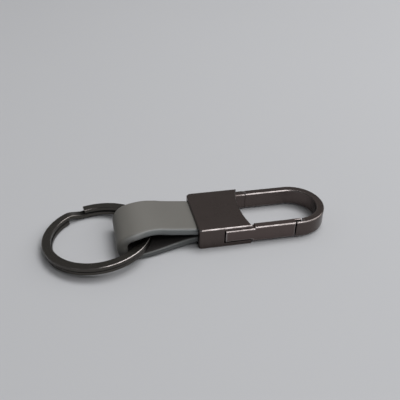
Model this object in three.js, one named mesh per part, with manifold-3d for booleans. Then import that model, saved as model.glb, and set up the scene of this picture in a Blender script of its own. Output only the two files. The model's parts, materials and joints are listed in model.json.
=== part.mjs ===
// A leather key fob: a strap folded round a split key ring, clamped in a metal clasp with a sprung hook gate.
// Millimetres, +Z up. The origin is on the clasp's flat underside, midway across, and +X runs to the hook.
import * as THREE from 'three';
import { mergeVertices } from 'three/addons/utils/BufferGeometryUtils.js';
import Module from 'manifold-3d';

const wasm = await Module();
wasm.setup();

// Clasp body: two plates, the block between them, a mouth for the strap and a bay for the gate's root
const claspMouth = -7.5;
const claspEnd = 8.05;
const claspWidth = 19.1;
const claspHeight = 6.6;
const mouthCornerRadius = 0.9;
const hookEdgeHollow = 1.6;
const topPlate = 1.03;
const basePlate = 1.1;
const fitGap = 0.3;
const pinGap = 0.1;
const roundSides = 24;

// Hook: a flat bar on edge, bent to a half circle, and the gate that closes it
const barThickness = 2.05;
const barBottom = 0.7;
const barHeight = 4.95;
const hookEnd = 32.95;
const stubRoot = 6;
const stubEnd = 10.5;
const stubThickness = 2.25;
const seamGap = 0.25;
const spigot = { thickness: 0.95, height: 2.6, length: 5.25, gap: 0.2 };
const bowPin = { x: 6, radius: 0.6, length: 2.7, sunk: 0.1 };

// Gate: a root that turns between the plates, the bar, and a thin nose behind the hook's lip
const bayStart = -0.15;
const bayDepth = 6.8;
const rootStart = 0.25;
const rootRadius = 1.55;
const rootTop = 5.17;
const gateStep = 8.95;
const gateEnd = 21.3;
const noseEnd = 23.45;
const noseThickness = 0.7;
const noseGap = 0.35;
const lipStart = 21.6;
const hookInnerStart = 23.85;
const gatePin = { radius: 0.7, bottom: 0.1, top: 6, turningGap: 0.12 };
const spring = { x: 5.2, radius: 1.1, wire: 0.2, turns: 5, seatDepth: 1.2, seatRadius: 1.6 };
const springSteps = 12;
const springSides = 6;

// Strap: one band of leather, thicker above than where it returns under the ring
const strapWidth = 15;
const upperThickness = 2.45;
const foldThickness = 2.35;
const lowerThickness = 1.65;
const edgeChamfer = 0.3;
const tailEnd = -2;
const pocketEnd = -1.4;
const upperMouthHeight = 4.435;
const lowerMouthHeight = 2.075;
const upperSlope = 0.15;
const lowerSlope = 0.1;
const crownStart = { x: -20.4, z: 6.55, slope: 0.3 };
const foldTip = { x: -29.72, z: 3.8 };
const floorContact = -26.25;
const crownShift = -2.5;
const touchShift = -3.6;
const foldRoll = 0.053;
const shiftLead = 3;
const rollLead = 4;
const crownLag = 1;
const rollLag = 2;
const strapSteps = 72;

// How far the strap keeps its direction at each turning point of its side view
const keep = {
  tail: 2.5, mouthInside: 2, run: 4.3, crown: 5.25, tipAbove: 2.8,
  tipBelow: 2, touchFold: 2.6, touchRun: 7, lowerMouth: 5,
};

// Screws that hold the strap's two ends in the mouth
const screw = { x: -4.7, y: 4, headRadius: 1.5, headDepth: 0.75, radius: 0.75, sunk: 0.1, top: 6.05 };
const screwSlot = { width: 0.5, depth: 0.4 };
const screwHoleGap = 0.15;
const strapHoleRadius = 1.05;

// Split ring: one flat wire wound twice round, one end stepping up past the other
const ringRadius = 15.75;
const wireWidth = 2.55;
const wireHeight = 1.05;
const turnGap = 0.42;
const wireChamfer = 0.2;
const ringCentre = { x: -35.55, y: -1.78 };
const ringLean = THREE.MathUtils.degToRad(4.6);
const ringHighSide = THREE.MathUtils.degToRad(-29);
const climbStart = 105;
const climbEnd = 125.5;
const endSetback = 2;
const ringStep = 7.5;

// Places worked out from the sizes above
const halfWidth = claspWidth / 2;
const barTop = barBottom + barHeight;
const barInner = halfWidth - barThickness;
const bowCentre = hookEnd - halfWidth;
const bayTop = claspHeight - topPlate;
const bayBack = -halfWidth + bayDepth;
const pivot = { x: rootStart + rootRadius, y: -halfWidth + rootRadius };
const barMiddle = barBottom + barHeight / 2;
const beyond = 1;

// Finishes
const gunmetal = { color: 0x3f3b39, roughness: 0.38, metalness: 0.9 };
const ringSteel = { color: 0x393735, roughness: 0.34, metalness: 0.9 };
const springSteel = { color: 0x8d8f92, roughness: 0.3, metalness: 1 };
const leather = { color: 0x74726d, roughness: 0.62, metalness: 0 };

function toSolid(geometry) {
  geometry.deleteAttribute('normal');
  geometry.deleteAttribute('uv');
  const merged = mergeVertices(geometry, 1e-5);
  const vertProperties = new Float32Array(merged.attributes.position.array);
  const triVerts = new Uint32Array(merged.index.array);
  return new wasm.Manifold(new wasm.Mesh({ numProp: 3, vertProperties, triVerts }));
}

function toGeometry(solid) {
  const mesh = solid.getMesh();
  const geometry = new THREE.BufferGeometry();
  geometry.setAttribute('position', new THREE.BufferAttribute(new Float32Array(mesh.vertProperties), 3));
  geometry.setIndex(new THREE.BufferAttribute(new Uint32Array(mesh.triVerts), 1));
  return geometry;
}

function block([x0, x1], [y0, y1], [z0, z1]) {
  const geometry = new THREE.BoxGeometry(x1 - x0, y1 - y0, z1 - z0);
  geometry.translate((x0 + x1) / 2, (y0 + y1) / 2, (z0 + z1) / 2);
  return toSolid(geometry);
}

function prism(shape, z0, z1) {
  const settings = { depth: z1 - z0, bevelEnabled: false, curveSegments: roundSides };
  const geometry = new THREE.ExtrudeGeometry(shape, settings);
  geometry.translate(0, 0, z0);
  return toSolid(geometry);
}

function uprightRod(x, y, radius, z0, z1) {
  const geometry = new THREE.CylinderGeometry(radius, radius, z1 - z0, roundSides);
  geometry.rotateX(Math.PI / 2);
  geometry.translate(x, y, (z0 + z1) / 2);
  return toSolid(geometry);
}

function crossRod(x, z, radius, y0, y1) {
  const geometry = new THREE.CylinderGeometry(radius, radius, y1 - y0, roundSides);
  geometry.translate(x, (y0 + y1) / 2, z);
  return toSolid(geometry);
}

// Joins rings of points, one ring a station, into a closed bar with flat ends
function closedBar(rings) {
  const sides = rings[0].length;
  const positions = rings.flat().flatMap((point) => [point.x, point.y, point.z]);
  const index = [];
  for (let station = 0; station < rings.length - 1; station += 1) {
    for (let side = 0; side < sides; side += 1) {
      const a = station * sides + side;
      const b = station * sides + ((side + 1) % sides);
      index.push(a, b, b + sides, a, b + sides, a + sides);
    }
  }
  const last = (rings.length - 1) * sides;
  for (let side = 1; side < sides - 1; side += 1) {
    index.push(0, side + 1, side);
    index.push(last, last + side, last + side + 1);
  }
  const geometry = new THREE.BufferGeometry();
  geometry.setAttribute('position', new THREE.Float32BufferAttribute(positions, 3));
  geometry.setIndex(index);
  return geometry;
}

// A flat section with cut corners, anticlockwise
function flatSection(width, height, cut) {
  const w = width / 2;
  const h = height / 2;
  return [
    [w, -h + cut], [w, h - cut], [w - cut, h], [-w + cut, h],
    [-w, h - cut], [-w, -h + cut], [-w + cut, -h], [w - cut, -h],
  ];
}

function rise(value, from, to) {
  return THREE.MathUtils.smoothstep(value, from, to);
}

// Least distance between points of a wound bar that lie on different turns
function leastGapBetweenTurns(rings, stationsPerTurn) {
  let least = Infinity;
  const apart = Math.floor(stationsPerTurn / 2);
  for (let a = 0; a < rings.length; a += 1) {
    for (let b = a + apart; b < rings.length; b += 1) {
      for (const p of rings[a]) {
        for (const q of rings[b]) {
          least = Math.min(least, p.distanceTo(q));
        }
      }
    }
  }
  return least;
}

function claspOutline() {
  const hollowRadius = (halfWidth ** 2 + hookEdgeHollow ** 2) / (2 * hookEdgeHollow);
  const hollowCentre = claspEnd - hookEdgeHollow + hollowRadius;
  const hollowAngle = Math.asin(halfWidth / hollowRadius);
  const corner = mouthCornerRadius;
  const shape = new THREE.Shape();
  shape.moveTo(claspMouth + corner, -halfWidth);
  shape.lineTo(claspEnd, -halfWidth);
  shape.absarc(hollowCentre, 0, hollowRadius, Math.PI + hollowAngle, Math.PI - hollowAngle, true);
  shape.lineTo(claspMouth + corner, halfWidth);
  shape.absarc(claspMouth + corner, halfWidth - corner, corner, Math.PI / 2, Math.PI, false);
  shape.lineTo(claspMouth, -halfWidth + corner);
  shape.absarc(claspMouth + corner, -halfWidth + corner, corner, Math.PI, Math.PI * 1.5, false);
  return shape;
}

function spigotBlock(gap, end) {
  const middle = halfWidth - stubThickness / 2;
  const start = stubEnd + seamGap - spigot.length - gap;
  return block(
    [start, end],
    [middle - spigot.thickness / 2 - gap, middle + spigot.thickness / 2 + gap],
    [barMiddle - spigot.height / 2 - gap, barMiddle + spigot.height / 2 + gap],
  );
}

// The screw's turned form, grown by a gap where it is used to cut the hole
function screwForm(gap, top, bottom) {
  const coneTop = screw.sunk + screw.headDepth;
  const profile = [
    new THREE.Vector2(0, bottom),
    new THREE.Vector2(screw.headRadius + gap, bottom),
    new THREE.Vector2(screw.headRadius + gap, screw.sunk),
    new THREE.Vector2(screw.radius + gap, coneTop),
    new THREE.Vector2(screw.radius + gap, top),
    new THREE.Vector2(0, top),
  ];
  const geometry = new THREE.LatheGeometry(profile, roundSides);
  geometry.rotateX(Math.PI / 2);
  return geometry;
}

function claspBody() {
  const ceiling = upperMouthHeight + upperThickness / 2 + fitGap;
  const sill = lowerMouthHeight - lowerThickness / 2 - fitGap;
  const side = strapWidth / 2 + fitGap;
  let body = prism(claspOutline(), 0, claspHeight);
  body = body.subtract(block([claspMouth - beyond, pocketEnd], [-side, side], [sill, ceiling]));
  body = body.subtract(
    block([bayStart, claspEnd + beyond], [-halfWidth - beyond, bayBack], [basePlate, bayTop]),
  );
  body = body.add(block([stubRoot, stubEnd], [halfWidth - stubThickness, halfWidth], [barBottom, barTop]));
  body = body.subtract(spigotBlock(spigot.gap, stubEnd + beyond));
  const bowPinHoleEnd = halfWidth - bowPin.length - fitGap;
  body = body.subtract(
    crossRod(bowPin.x, barMiddle, bowPin.radius + pinGap, bowPinHoleEnd, halfWidth + beyond),
  );
  body = body.subtract(
    uprightRod(pivot.x, pivot.y, gatePin.radius + pinGap, -beyond, gatePin.top + pinGap),
  );
  body = body.subtract(
    crossRod(spring.x, barMiddle, spring.seatRadius, bayBack - beyond, bayBack + spring.seatDepth),
  );
  for (const y of [-screw.y, screw.y]) {
    const hole = screwForm(screwHoleGap, screw.top + fitGap, -beyond);
    hole.translate(screw.x, y, 0);
    body = body.subtract(toSolid(hole));
  }
  return toGeometry(body);
}

function hookBow() {
  const innerStartAngle = Math.acos((hookInnerStart - bowCentre) / barInner);
  const lipInner = -barInner - noseThickness - noseGap;
  const armStart = stubEnd + seamGap;
  const shape = new THREE.Shape();
  shape.moveTo(armStart, halfWidth);
  shape.lineTo(armStart, barInner);
  shape.lineTo(bowCentre, barInner);
  shape.absarc(bowCentre, 0, barInner, Math.PI / 2, -innerStartAngle, true);
  shape.lineTo(hookInnerStart, lipInner);
  shape.lineTo(lipStart, lipInner);
  shape.lineTo(lipStart, -halfWidth);
  shape.lineTo(bowCentre, -halfWidth);
  shape.absarc(bowCentre, 0, halfWidth, -Math.PI / 2, Math.PI / 2, false);
  let bow = prism(shape, barBottom, barTop);
  bow = bow.add(spigotBlock(0, armStart + beyond));
  bow = bow.subtract(crossRod(bowPin.x, barMiddle, bowPin.radius + pinGap, 0, halfWidth + beyond));
  return toGeometry(bow);
}

function gate() {
  const joinAngle = Math.asin((-barInner - pivot.y) / rootRadius);
  const root = new THREE.Shape();
  root.moveTo(rootStart, -halfWidth);
  root.lineTo(gateStep + beyond, -halfWidth);
  root.lineTo(gateStep + beyond, -barInner);
  root.lineTo(pivot.x + rootRadius * Math.cos(joinAngle), -barInner);
  root.absarc(pivot.x, pivot.y, rootRadius, joinAngle, Math.PI, false);
  let bar = prism(root, basePlate + fitGap, rootTop);
  bar = bar.add(block([gateStep, gateEnd], [-halfWidth, -barInner], [barBottom, barTop]));
  bar = bar.add(
    block([gateEnd - beyond, noseEnd], [-barInner - noseThickness, -barInner], [barBottom, barTop]),
  );
  bar = bar.subtract(uprightRod(pivot.x, pivot.y, gatePin.radius + gatePin.turningGap, 0, claspHeight));
  return toGeometry(bar);
}

// A compression spring across the bay, from the gate's root to its seat in the block
function gateSpring() {
  const start = -barInner + fitGap + spring.wire;
  const length = bayBack + spring.seatDepth - fitGap - spring.wire - start;
  const rings = [];
  for (let step = 0; step <= spring.turns * springSteps; step += 1) {
    const share = step / (spring.turns * springSteps);
    const angle = share * spring.turns * Math.PI * 2;
    const out = new THREE.Vector3(Math.cos(angle), 0, -Math.sin(angle));
    const middle = new THREE.Vector3(spring.x, start + share * length, barMiddle);
    middle.addScaledVector(out, spring.radius);
    const ring = [];
    for (let side = 0; side < springSides; side += 1) {
      const turn = (side / springSides) * Math.PI * 2;
      const point = middle.clone().addScaledVector(out, spring.wire * Math.cos(turn));
      point.y -= spring.wire * Math.sin(turn);
      ring.push(point);
    }
    rings.push(ring);
  }
  console.log(`gate_spring least gap ${leastGapBetweenTurns(rings, springSteps).toFixed(2)} mm`);
  return closedBar(rings);
}

// The strap's middle line in the XZ plane: out of the mouth, round the fold and back in
function strapPath() {
  const upperMouth = new THREE.Vector2(claspMouth, upperMouthHeight);
  const lowerMouth = new THREE.Vector2(claspMouth, lowerMouthHeight);
  const out = new THREE.Vector2(-1, upperSlope);
  const back = new THREE.Vector2(1, lowerSlope);
  const along = (from, direction, reach) => from.clone().addScaledVector(direction, reach);
  const up = new THREE.Vector2(-1, crownStart.slope);
  const runEnd = new THREE.Vector2(crownStart.x, crownStart.z);
  const tip = new THREE.Vector2(foldTip.x, foldTip.z);
  const touch = new THREE.Vector2(floorContact, lowerThickness / 2);
  const upperTail = new THREE.Vector2(tailEnd, upperMouthHeight);
  const lowerTail = new THREE.Vector2(tailEnd, lowerMouthHeight);
  const level = new THREE.Vector2(1, 0);
  const upright = new THREE.Vector2(0, 1);
  const path = new THREE.CurvePath();
  const addCurve = (a, b, c, d) => path.add(new THREE.CubicBezierCurve(a, b, c, d));
  const upperTailReach = along(upperTail, level, -keep.tail);
  const lowerTailReach = along(lowerTail, level, -keep.tail);
  addCurve(upperTail, upperTailReach, along(upperMouth, out, -keep.mouthInside), upperMouth);
  addCurve(upperMouth, along(upperMouth, out, keep.run), along(runEnd, up, -keep.run), runEnd);
  addCurve(runEnd, along(runEnd, up, keep.crown), along(tip, upright, keep.tipAbove), tip);
  addCurve(tip, along(tip, upright, -keep.tipBelow), along(touch, level, -keep.touchFold), touch);
  addCurve(touch, along(touch, level, keep.touchRun), along(lowerMouth, back, -keep.lowerMouth), lowerMouth);
  addCurve(lowerMouth, along(lowerMouth, back, keep.mouthInside), lowerTailReach, lowerTail);
  return path;
}

// The strap's band along that path, thinning, shifting sideways and twisting a little as it folds
function leatherStrap() {
  const path = strapPath();
  const [, runEnd, tip, touch, lowerMouth, length] = path.getCurveLengths();
  const crown = (runEnd + tip) / 2 + crownLag;
  const rings = [];
  for (let step = 0; step <= strapSteps; step += 1) {
    const at = (step / strapSteps) * length;
    const middle = path.getPoint(step / strapSteps);
    const tangent = path.getTangent(step / strapSteps);
    const outward = new THREE.Vector2(tangent.y, -tangent.x);
    const crownThickness = THREE.MathUtils.lerp(upperThickness, foldThickness, rise(at, crown, tip));
    const thickness = THREE.MathUtils.lerp(crownThickness, lowerThickness, rise(at, tip, touch));
    const foldShift = crownShift * rise(at, runEnd - shiftLead, crown);
    const returning = THREE.MathUtils.lerp(foldShift, touchShift, rise(at, crown, touch));
    const shift = returning * (1 - rise(at, touch, lowerMouth));
    const roll = foldRoll * rise(at, runEnd - rollLead, crown) * (1 - rise(at, crown, tip + rollLag));
    rings.push(
      flatSection(strapWidth, thickness, edgeChamfer).map(([across, off]) => new THREE.Vector3(
        middle.x + outward.x * off,
        shift + across,
        middle.y + outward.y * off + across * roll,
      )).reverse(),
    );
  }
  let strap = toSolid(closedBar(rings));
  for (const y of [-screw.y, screw.y]) {
    strap = strap.subtract(uprightRod(screw.x, y, strapHoleRadius, 0, claspHeight));
  }
  return toGeometry(strap);
}

function strapScrew(y) {
  const form = screwForm(0, screw.top, screw.sunk);
  form.translate(screw.x, y, 0);
  const reach = screw.headRadius + beyond;
  const slot = block(
    [screw.x - reach, screw.x + reach],
    [y - screwSlot.width / 2, y + screwSlot.width / 2],
    [-beyond, screw.sunk + screwSlot.depth],
  );
  return toGeometry(toSolid(form).subtract(slot));
}

// The ring lies flat in its own frame, with its underside at zero
function splitRing() {
  const middleRadius = ringRadius - wireWidth / 2;
  const lift = wireHeight + turnGap;
  const first = climbEnd + endSetback;
  const last = climbStart - endSetback + 720;
  const section = flatSection(wireWidth, wireHeight, wireChamfer);
  const rings = [];
  for (let reached = first; reached < last + ringStep; reached += ringStep) {
    const degrees = Math.min(reached, last);
    const angle = THREE.MathUtils.degToRad(degrees);
    const height = wireHeight / 2 + lift * rise(degrees, climbStart + 360, climbEnd + 360);
    rings.push(
      section.map(([out, up]) => new THREE.Vector3(
        (middleRadius + out) * Math.cos(angle),
        (middleRadius + out) * Math.sin(angle),
        height + up,
      )).reverse(),
    );
  }
  console.log(`split_ring least gap ${leastGapBetweenTurns(rings, 360 / ringStep).toFixed(2)} mm`);
  return closedBar(rings);
}

function piece(name, geometry, finish) {
  const mesh = new THREE.Mesh(geometry, new THREE.MeshStandardMaterial(finish));
  mesh.name = name;
  return mesh;
}

const fob = new THREE.Group();
fob.add(piece('clasp_body', claspBody(), gunmetal));
fob.add(piece('hook_bow', hookBow(), gunmetal));
fob.add(piece('bow_pin', toGeometry(crossRod(
  bowPin.x,
  barMiddle,
  bowPin.radius,
  halfWidth - bowPin.length,
  halfWidth - bowPin.sunk,
)), gunmetal));
fob.add(piece('gate', gate(), gunmetal));
fob.add(piece('gate_pin', toGeometry(
  uprightRod(pivot.x, pivot.y, gatePin.radius, gatePin.bottom, gatePin.top),
), gunmetal));
fob.add(piece('gate_spring', gateSpring(), springSteel));
fob.add(piece('leather_strap', leatherStrap(), leather));
fob.add(piece('strap_screw_front', strapScrew(-screw.y), gunmetal));
fob.add(piece('strap_screw_back', strapScrew(screw.y), gunmetal));

// The ring's far left edge is on the floor, and its other side lies up on the strap's lower layer
const ring = piece('split_ring', splitRing(), ringSteel);
const leanAxis = new THREE.Vector3(Math.sin(ringHighSide), -Math.cos(ringHighSide), 0);
ring.position.set(ringCentre.x, ringCentre.y, ringRadius * Math.sin(ringLean));
ring.quaternion.setFromAxisAngle(leanAxis, ringLean);
fob.add(ring);

export default fob;
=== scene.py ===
import json
import math

import bmesh
import bpy
from mathutils import Matrix, Vector


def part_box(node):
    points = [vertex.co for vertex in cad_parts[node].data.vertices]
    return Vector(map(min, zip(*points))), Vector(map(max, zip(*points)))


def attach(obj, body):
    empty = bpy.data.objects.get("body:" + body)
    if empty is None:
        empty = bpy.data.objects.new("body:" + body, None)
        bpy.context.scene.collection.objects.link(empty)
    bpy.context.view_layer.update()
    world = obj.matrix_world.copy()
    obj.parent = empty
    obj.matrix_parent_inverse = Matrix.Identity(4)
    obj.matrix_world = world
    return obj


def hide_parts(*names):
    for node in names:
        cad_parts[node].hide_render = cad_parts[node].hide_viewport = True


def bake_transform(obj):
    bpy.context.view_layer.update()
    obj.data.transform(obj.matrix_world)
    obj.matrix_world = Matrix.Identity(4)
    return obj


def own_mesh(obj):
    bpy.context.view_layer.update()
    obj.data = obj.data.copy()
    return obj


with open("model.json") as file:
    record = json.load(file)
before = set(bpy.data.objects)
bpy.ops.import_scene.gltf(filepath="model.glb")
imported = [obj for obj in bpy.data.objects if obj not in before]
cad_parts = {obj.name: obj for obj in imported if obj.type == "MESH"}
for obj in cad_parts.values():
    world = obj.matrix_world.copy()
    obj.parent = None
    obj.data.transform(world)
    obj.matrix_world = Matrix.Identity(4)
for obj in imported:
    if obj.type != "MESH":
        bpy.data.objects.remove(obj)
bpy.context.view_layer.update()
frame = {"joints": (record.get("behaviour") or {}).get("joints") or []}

bl_info = {
    "name": "Leather Key Fob",
    "version": (1, 0, 0),
    "blender": (4, 5, 0),
    "location": "View3D > Sidebar > Key Fob",
    "description": "Builds a folded leather strap with a split key ring and a clasp with a sprung hook gate",
    "category": "Add Mesh",
}

MM = 0.001
PER_MM = 1000.0


class Node:
    """A solid of the packed frame: its box, the box's middle and half the box's length along X."""

    def __init__(self, name):
        self.low, self.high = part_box(name)
        self.middle = (self.low + self.high) / 2
        self.radius = (self.high.x - self.low.x) / 2


CLASP = Node("clasp_body")
HOOK = Node("hook_bow")
GATE = Node("gate")
GATE_PIN = Node("gate_pin")
HOOK_PIN = Node("bow_pin")
SPRING = Node("gate_spring")
SCREW = Node("strap_screw_front")
JOINTS = {joint["name"]: joint for joint in frame["joints"]}

# Where the clasp's outline and the hook's bar lie
HALF_WIDTH = HOOK.high.y
MOUTH = CLASP.low.x
CLASP_TOP = CLASP.high.z
CLASP_END = 8.05 * MM
BAR_LOW = HOOK.low.z
BAR_HIGH = HOOK.high.z
BOW_CENTRE = HOOK.high.x - HALF_WIDTH
STUB_END = CLASP.high.x

# How far a tool reaches past what it cuts, and how far a face stands off another
BEYOND = 1.0 * MM
HAIR = 0.01 * MM


def srgb(red, green, blue):
    """A colour as a picture editor shows it, 0 to 255, turned into the linear values that a shader takes."""
    shares = (red / 255, green / 255, blue / 255)
    return tuple(s / 12.92 if s <= 0.04045 else ((s + 0.055) / 1.055) ** 2.4 for s in shares)


def a_number(name, description, default, **kind):
    return bpy.props.FloatProperty(name=name, description=description, default=default, **kind)


def a_vector(name, description, default, **kind):
    return bpy.props.FloatVectorProperty(name=name, description=description, default=default, size=3, **kind)


def a_length(name, description, millimetres):
    """A length, shown in the scene's own unit."""
    return a_number(name, description, millimetres * MM, unit="LENGTH", precision=5)


def an_angle(name, description, degrees):
    return a_number(name, description, math.radians(degrees), subtype="ANGLE")


def a_share(name, description, default):
    """A number from 0 to 1."""
    return a_number(name, description, default, min=0.0, max=1.0, subtype="FACTOR")


def a_power(name, description, watts):
    return a_number(name, description, watts, min=0.0, subtype="POWER")


def a_colour(name, description, default):
    """A linear colour."""
    return a_vector(name, description, default, subtype="COLOR", min=0.0, max=1.0)


def a_place(name, description, default):
    """A place or a direction, in metres."""
    return a_vector(name, description, default, subtype="TRANSLATION", precision=5)


class KeyFobMetal(bpy.types.PropertyGroup):
    """Sizes of the clasp, the hook and the gate."""

    bevel: a_length("Bevel", "How far the bevels on the metal's upper edges go in", 0.25)
    base_bevel: a_length("Base bevel", "How far the bevels on the metal's lower edges go in", 0.1)
    bevel_soft: a_length("Bevel softness", "Radius where a bevel meets a face", 0.07)
    # The wear width also sets how far the painted highlight on the edges reaches in.
    shoulder: a_length("Wear width", "How far wear reaches in from an edge", 0.2)
    corner: a_length("Mouth corner", "Radius of the clasp's front corner beside the strap", 0.9)
    back_corner: a_length("Back corner", "Radius of the clasp's corner behind the strap", 1.3)
    mouth_lead: a_length("Mouth lead", "How much further the back of the mouth reaches", 0.35)
    hollow: a_length("Hook edge hollow", "How far the clasp's hook edge curves in", 1.6)
    top_plate: a_length("Top plate", "Thickness of the plate over the gate's root", 1.03)
    base_plate: a_length("Base plate", "Thickness of the plate under the gate's root", 1.3)
    bay_start: a_length("Bay start", "Where the bay for the gate's root starts", -0.15)
    bay_depth: a_length("Bay depth", "How deep the bay goes in from the front", 6.8)
    bar_thickness: a_length("Bar thickness", "Thickness of the hook's and the gate's bar", 2.3)
    stub_thickness: a_length("Stub thickness", "Thickness of the stub of the hook's arm", 2.4)
    seam: a_length("Seam", "Gap between the stub and the hook's bar", 0.06)
    lip_start: a_length("Lip start", "Where the hook's lip starts in front of the gate", 21.6)
    lip_thickness: a_length("Lip thickness", "Thickness of the hook's lip", 1.0)
    throat: a_length("Throat", "Where the hook's bar is whole behind the lip", 23.85)
    gate_step: a_length("Gate step", "Where the gate's root rises to the whole bar", 8.95)
    gate_heel: a_length("Gate heel", "Where the gate's root drops to the whole bar", 8.3)
    gate_end: a_length("Gate end", "Where the gate's front face ends", 21.34)
    root_low: a_length("Root underside", "Height of the underside of the gate's root", 1.4)
    root_high: a_length("Root top", "Height of the top of the gate's root", 5.17)
    root_radius: a_length("Root radius", "Radius of the gate's root round its pin", 1.25)
    nose_thickness: a_length("Nose thickness", "Thickness of the gate's nose", 0.7)
    pin_hole: a_length("Pin hole", "Radius of the hole in the gate's root", 0.82)


class KeyFobStrap(bpy.types.PropertyGroup):
    """Sizes of the folded leather."""

    width: a_length("Width", "Width of the strap", 15.0)
    upper_thickness: a_length("Upper thickness", "Thickness of the run on top", 2.45)
    fold_thickness: a_length("Fold thickness", "Thickness at the tip of the fold", 3.15)
    lower_thickness: a_length("Lower thickness", "Thickness where it returns under the ring", 1.8)
    end_thickness: a_length("End thickness", "Thickness of the lower end in the clasp", 2.3)
    edge_share: a_share("Edge roundness", "Radius of the painted edges, in thicknesses", 0.42)
    crown: a_length("Crown", "How much the middle swells above the edges", 0.06)
    hole: a_length("Screw hole", "Radius of the holes in the strap's ends", 1.05)


class KeyFobRing(bpy.types.PropertyGroup):
    """Sizes of the split ring's flat wire."""

    radius: a_length("Radius", "Outer radius of the ring", 15.75)
    wire_width: a_length("Wire width", "Width of the flat wire", 2.55)
    wire_height: a_length("Wire height", "Height of one turn", 1.25)
    turn_gap: a_length("Turn gap", "Gap between the two turns", 0.04)
    set_back: a_length("Set back", "How much further in the lower turn lies", 0.22)
    wire_bevel: a_length("Wire bevel", "How far the bevels on the wire's edges go in", 0.18)
    wire_soft: a_length("Wire softness", "Radius where a bevel meets a face", 0.06)


class KeyFobFinish(bpy.types.PropertyGroup):
    """Colours and sheen of the surfaces."""

    gunmetal: a_colour("Gunmetal", "Plating of the clasp, hook, pins and screws", srgb(92, 83, 80))
    # Painted highlight: the worn colour is partly wear and partly a brightness that makes the bevels glint
    # as brightly as a lamp would.
    gunmetal_worn_and_sheen: a_colour("Worn gunmetal", "Plating where edges are rubbed", srgb(184, 177, 176))
    gate_metal: a_colour("Gate plating", "Plating of the gate", srgb(101, 90, 87))
    gunmetal_roughness: a_share("Gunmetal roughness", "How dull the plating is", 0.28)
    ring_steel: a_colour("Ring steel", "Plating of the split ring", srgb(82, 79, 75))
    ring_roughness: a_share("Ring roughness", "How dull the ring is", 0.26)
    spring_steel: a_colour("Spring steel", "Bare wire of the gate's spring", srgb(170, 172, 175))
    leather: a_colour("Leather", "Grain side of the strap", srgb(112, 110, 105))
    flesh: a_colour("Flesh side", "Rough inner side of the strap", srgb(36, 33, 32))
    edge_paint: a_colour("Edge paint", "Paint on the strap's cut edges", srgb(118, 122, 122))


class KeyFobStage(bpy.types.PropertyGroup):
    """Camera, floor and light."""

    floor: a_colour("Floor", "Colour of the plain floor", srgb(203, 204, 207))
    floor_size: a_length("Floor size", "Side of the square floor", 3000.0)
    camera_place: a_place("Camera place", "Where the camera stands", (-0.036497, -0.137128, 0.108274))
    azimuth: an_angle("Azimuth", "Camera's turn round the object", -12.75)
    elevation: an_angle("Elevation", "Camera's height as an angle", 34.811)
    roll: an_angle("Roll", "Camera's tilt about its own view", 1.476)
    lens: a_number("Lens", "Focal length in millimetres", 52.97, min=1.0, unit="CAMERA")
    sky_front: a_share("Sky in front", "Strength of the surrounding light in front", 0.06)
    sky_back: a_share("Sky behind", "Strength of the surrounding light behind", 0.31)
    key_power: a_power("Key light", "Power of the wide soft light on the right", 3.2)
    key_place: a_place("Key place", "Middle of the key light", (0.513, -0.262, 0.556))
    key_across: a_place("Key direction", "Which way the key light is wide", (0.78, 0.56, -0.29))
    key_width: a_length("Key width", "Width of the key light", 1500.0)
    key_height: a_length("Key height", "Height of the key light", 220.0)
    back_power: a_power("Back light", "Power of the soft light overhead, behind on the right", 5.0)
    back_place: a_place("Back place", "Middle of the back light", (0.36, 0.20, 0.91))
    back_across: a_place("Back direction", "Which way the back light is wide", (-0.866, 0.5, 0.0))
    back_width: a_length("Back width", "Width of the back light", 800.0)
    back_height: a_length("Back height", "Height of the back light", 400.0)


class Value:
    """A node's output, so that node maths on numbers reads as Python."""

    def __init__(self, graph, socket):
        self.graph = graph
        self.socket = socket

    def __add__(self, other):
        return self.graph.math("ADD", self, other)

    __radd__ = __add__

    def __sub__(self, other):
        return self.graph.math("SUBTRACT", self, other)

    def __rsub__(self, other):
        return self.graph.math("SUBTRACT", other, self)

    def __mul__(self, other):
        return self.graph.math("MULTIPLY", self, other)

    __rmul__ = __mul__

    def __truediv__(self, other):
        return self.graph.math("DIVIDE", self, other)

    def __rtruediv__(self, other):
        return self.graph.math("DIVIDE", other, self)


class Graph:
    """Adds nodes to one node tree."""

    def __init__(self, tree):
        self.tree = tree

    def add(self, kind, sockets=None, out=0, **settings):
        """One node: its settings first, then its sockets by name or number, and the output asked for."""
        node = self.tree.nodes.new(kind)
        for name, setting in settings.items():
            setattr(node, name, setting)
        for key, given in (sockets or {}).items():
            self.put(node.inputs[key], given)
        return Value(self, node.outputs[out]) if node.outputs else node

    def put(self, socket, given):
        """Links a value to a socket, or sets the socket's own number, colour or material."""
        if isinstance(given, Value):
            self.tree.links.new(given.socket, socket)
        elif socket.type == "RGBA" and len(given) == 3:
            socket.default_value = (*given, 1.0)
        else:
            socket.default_value = given

    def math(self, operation, first, second=0.0):
        return self.add("ShaderNodeMath", {0: first, 1: second}, operation=operation)

    def axes(self, vector):
        """A vector's three numbers."""
        return [self.add("ShaderNodeSeparateXYZ", {0: vector}, out=axis) for axis in "XYZ"]

    def smooth(self, number, low, high):
        """0 where a number is at low, 1 where it is at high, and smooth between. Low may be the larger."""
        sockets = {"Value": number, "From Min": low, "From Max": high}
        return self.add("ShaderNodeMapRange", sockets, interpolation_type="SMOOTHSTEP")

    def mix(self, share, first, second):
        """A colour between two."""
        return self.add("ShaderNodeMix", {0: share, 6: first, 7: second}, out=2, data_type="RGBA")

    def uneven(self, mask, colour, dark, light):
        """A colour that a mask takes from a darker tint to a lighter one."""
        return self.mix(mask, [dark * part for part in colour], [light * part for part in colour])

    def noise(self, place, scale, detail, roughness):
        sockets = {"Vector": place, "Scale": scale, "Detail": detail, "Roughness": roughness}
        return self.add("ShaderNodeTexNoise", sockets)

    def sway(self, mask, amount):
        """A number that a mask takes from half an amount below 0 to half an amount above it."""
        return amount * (mask - 0.5)


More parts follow.
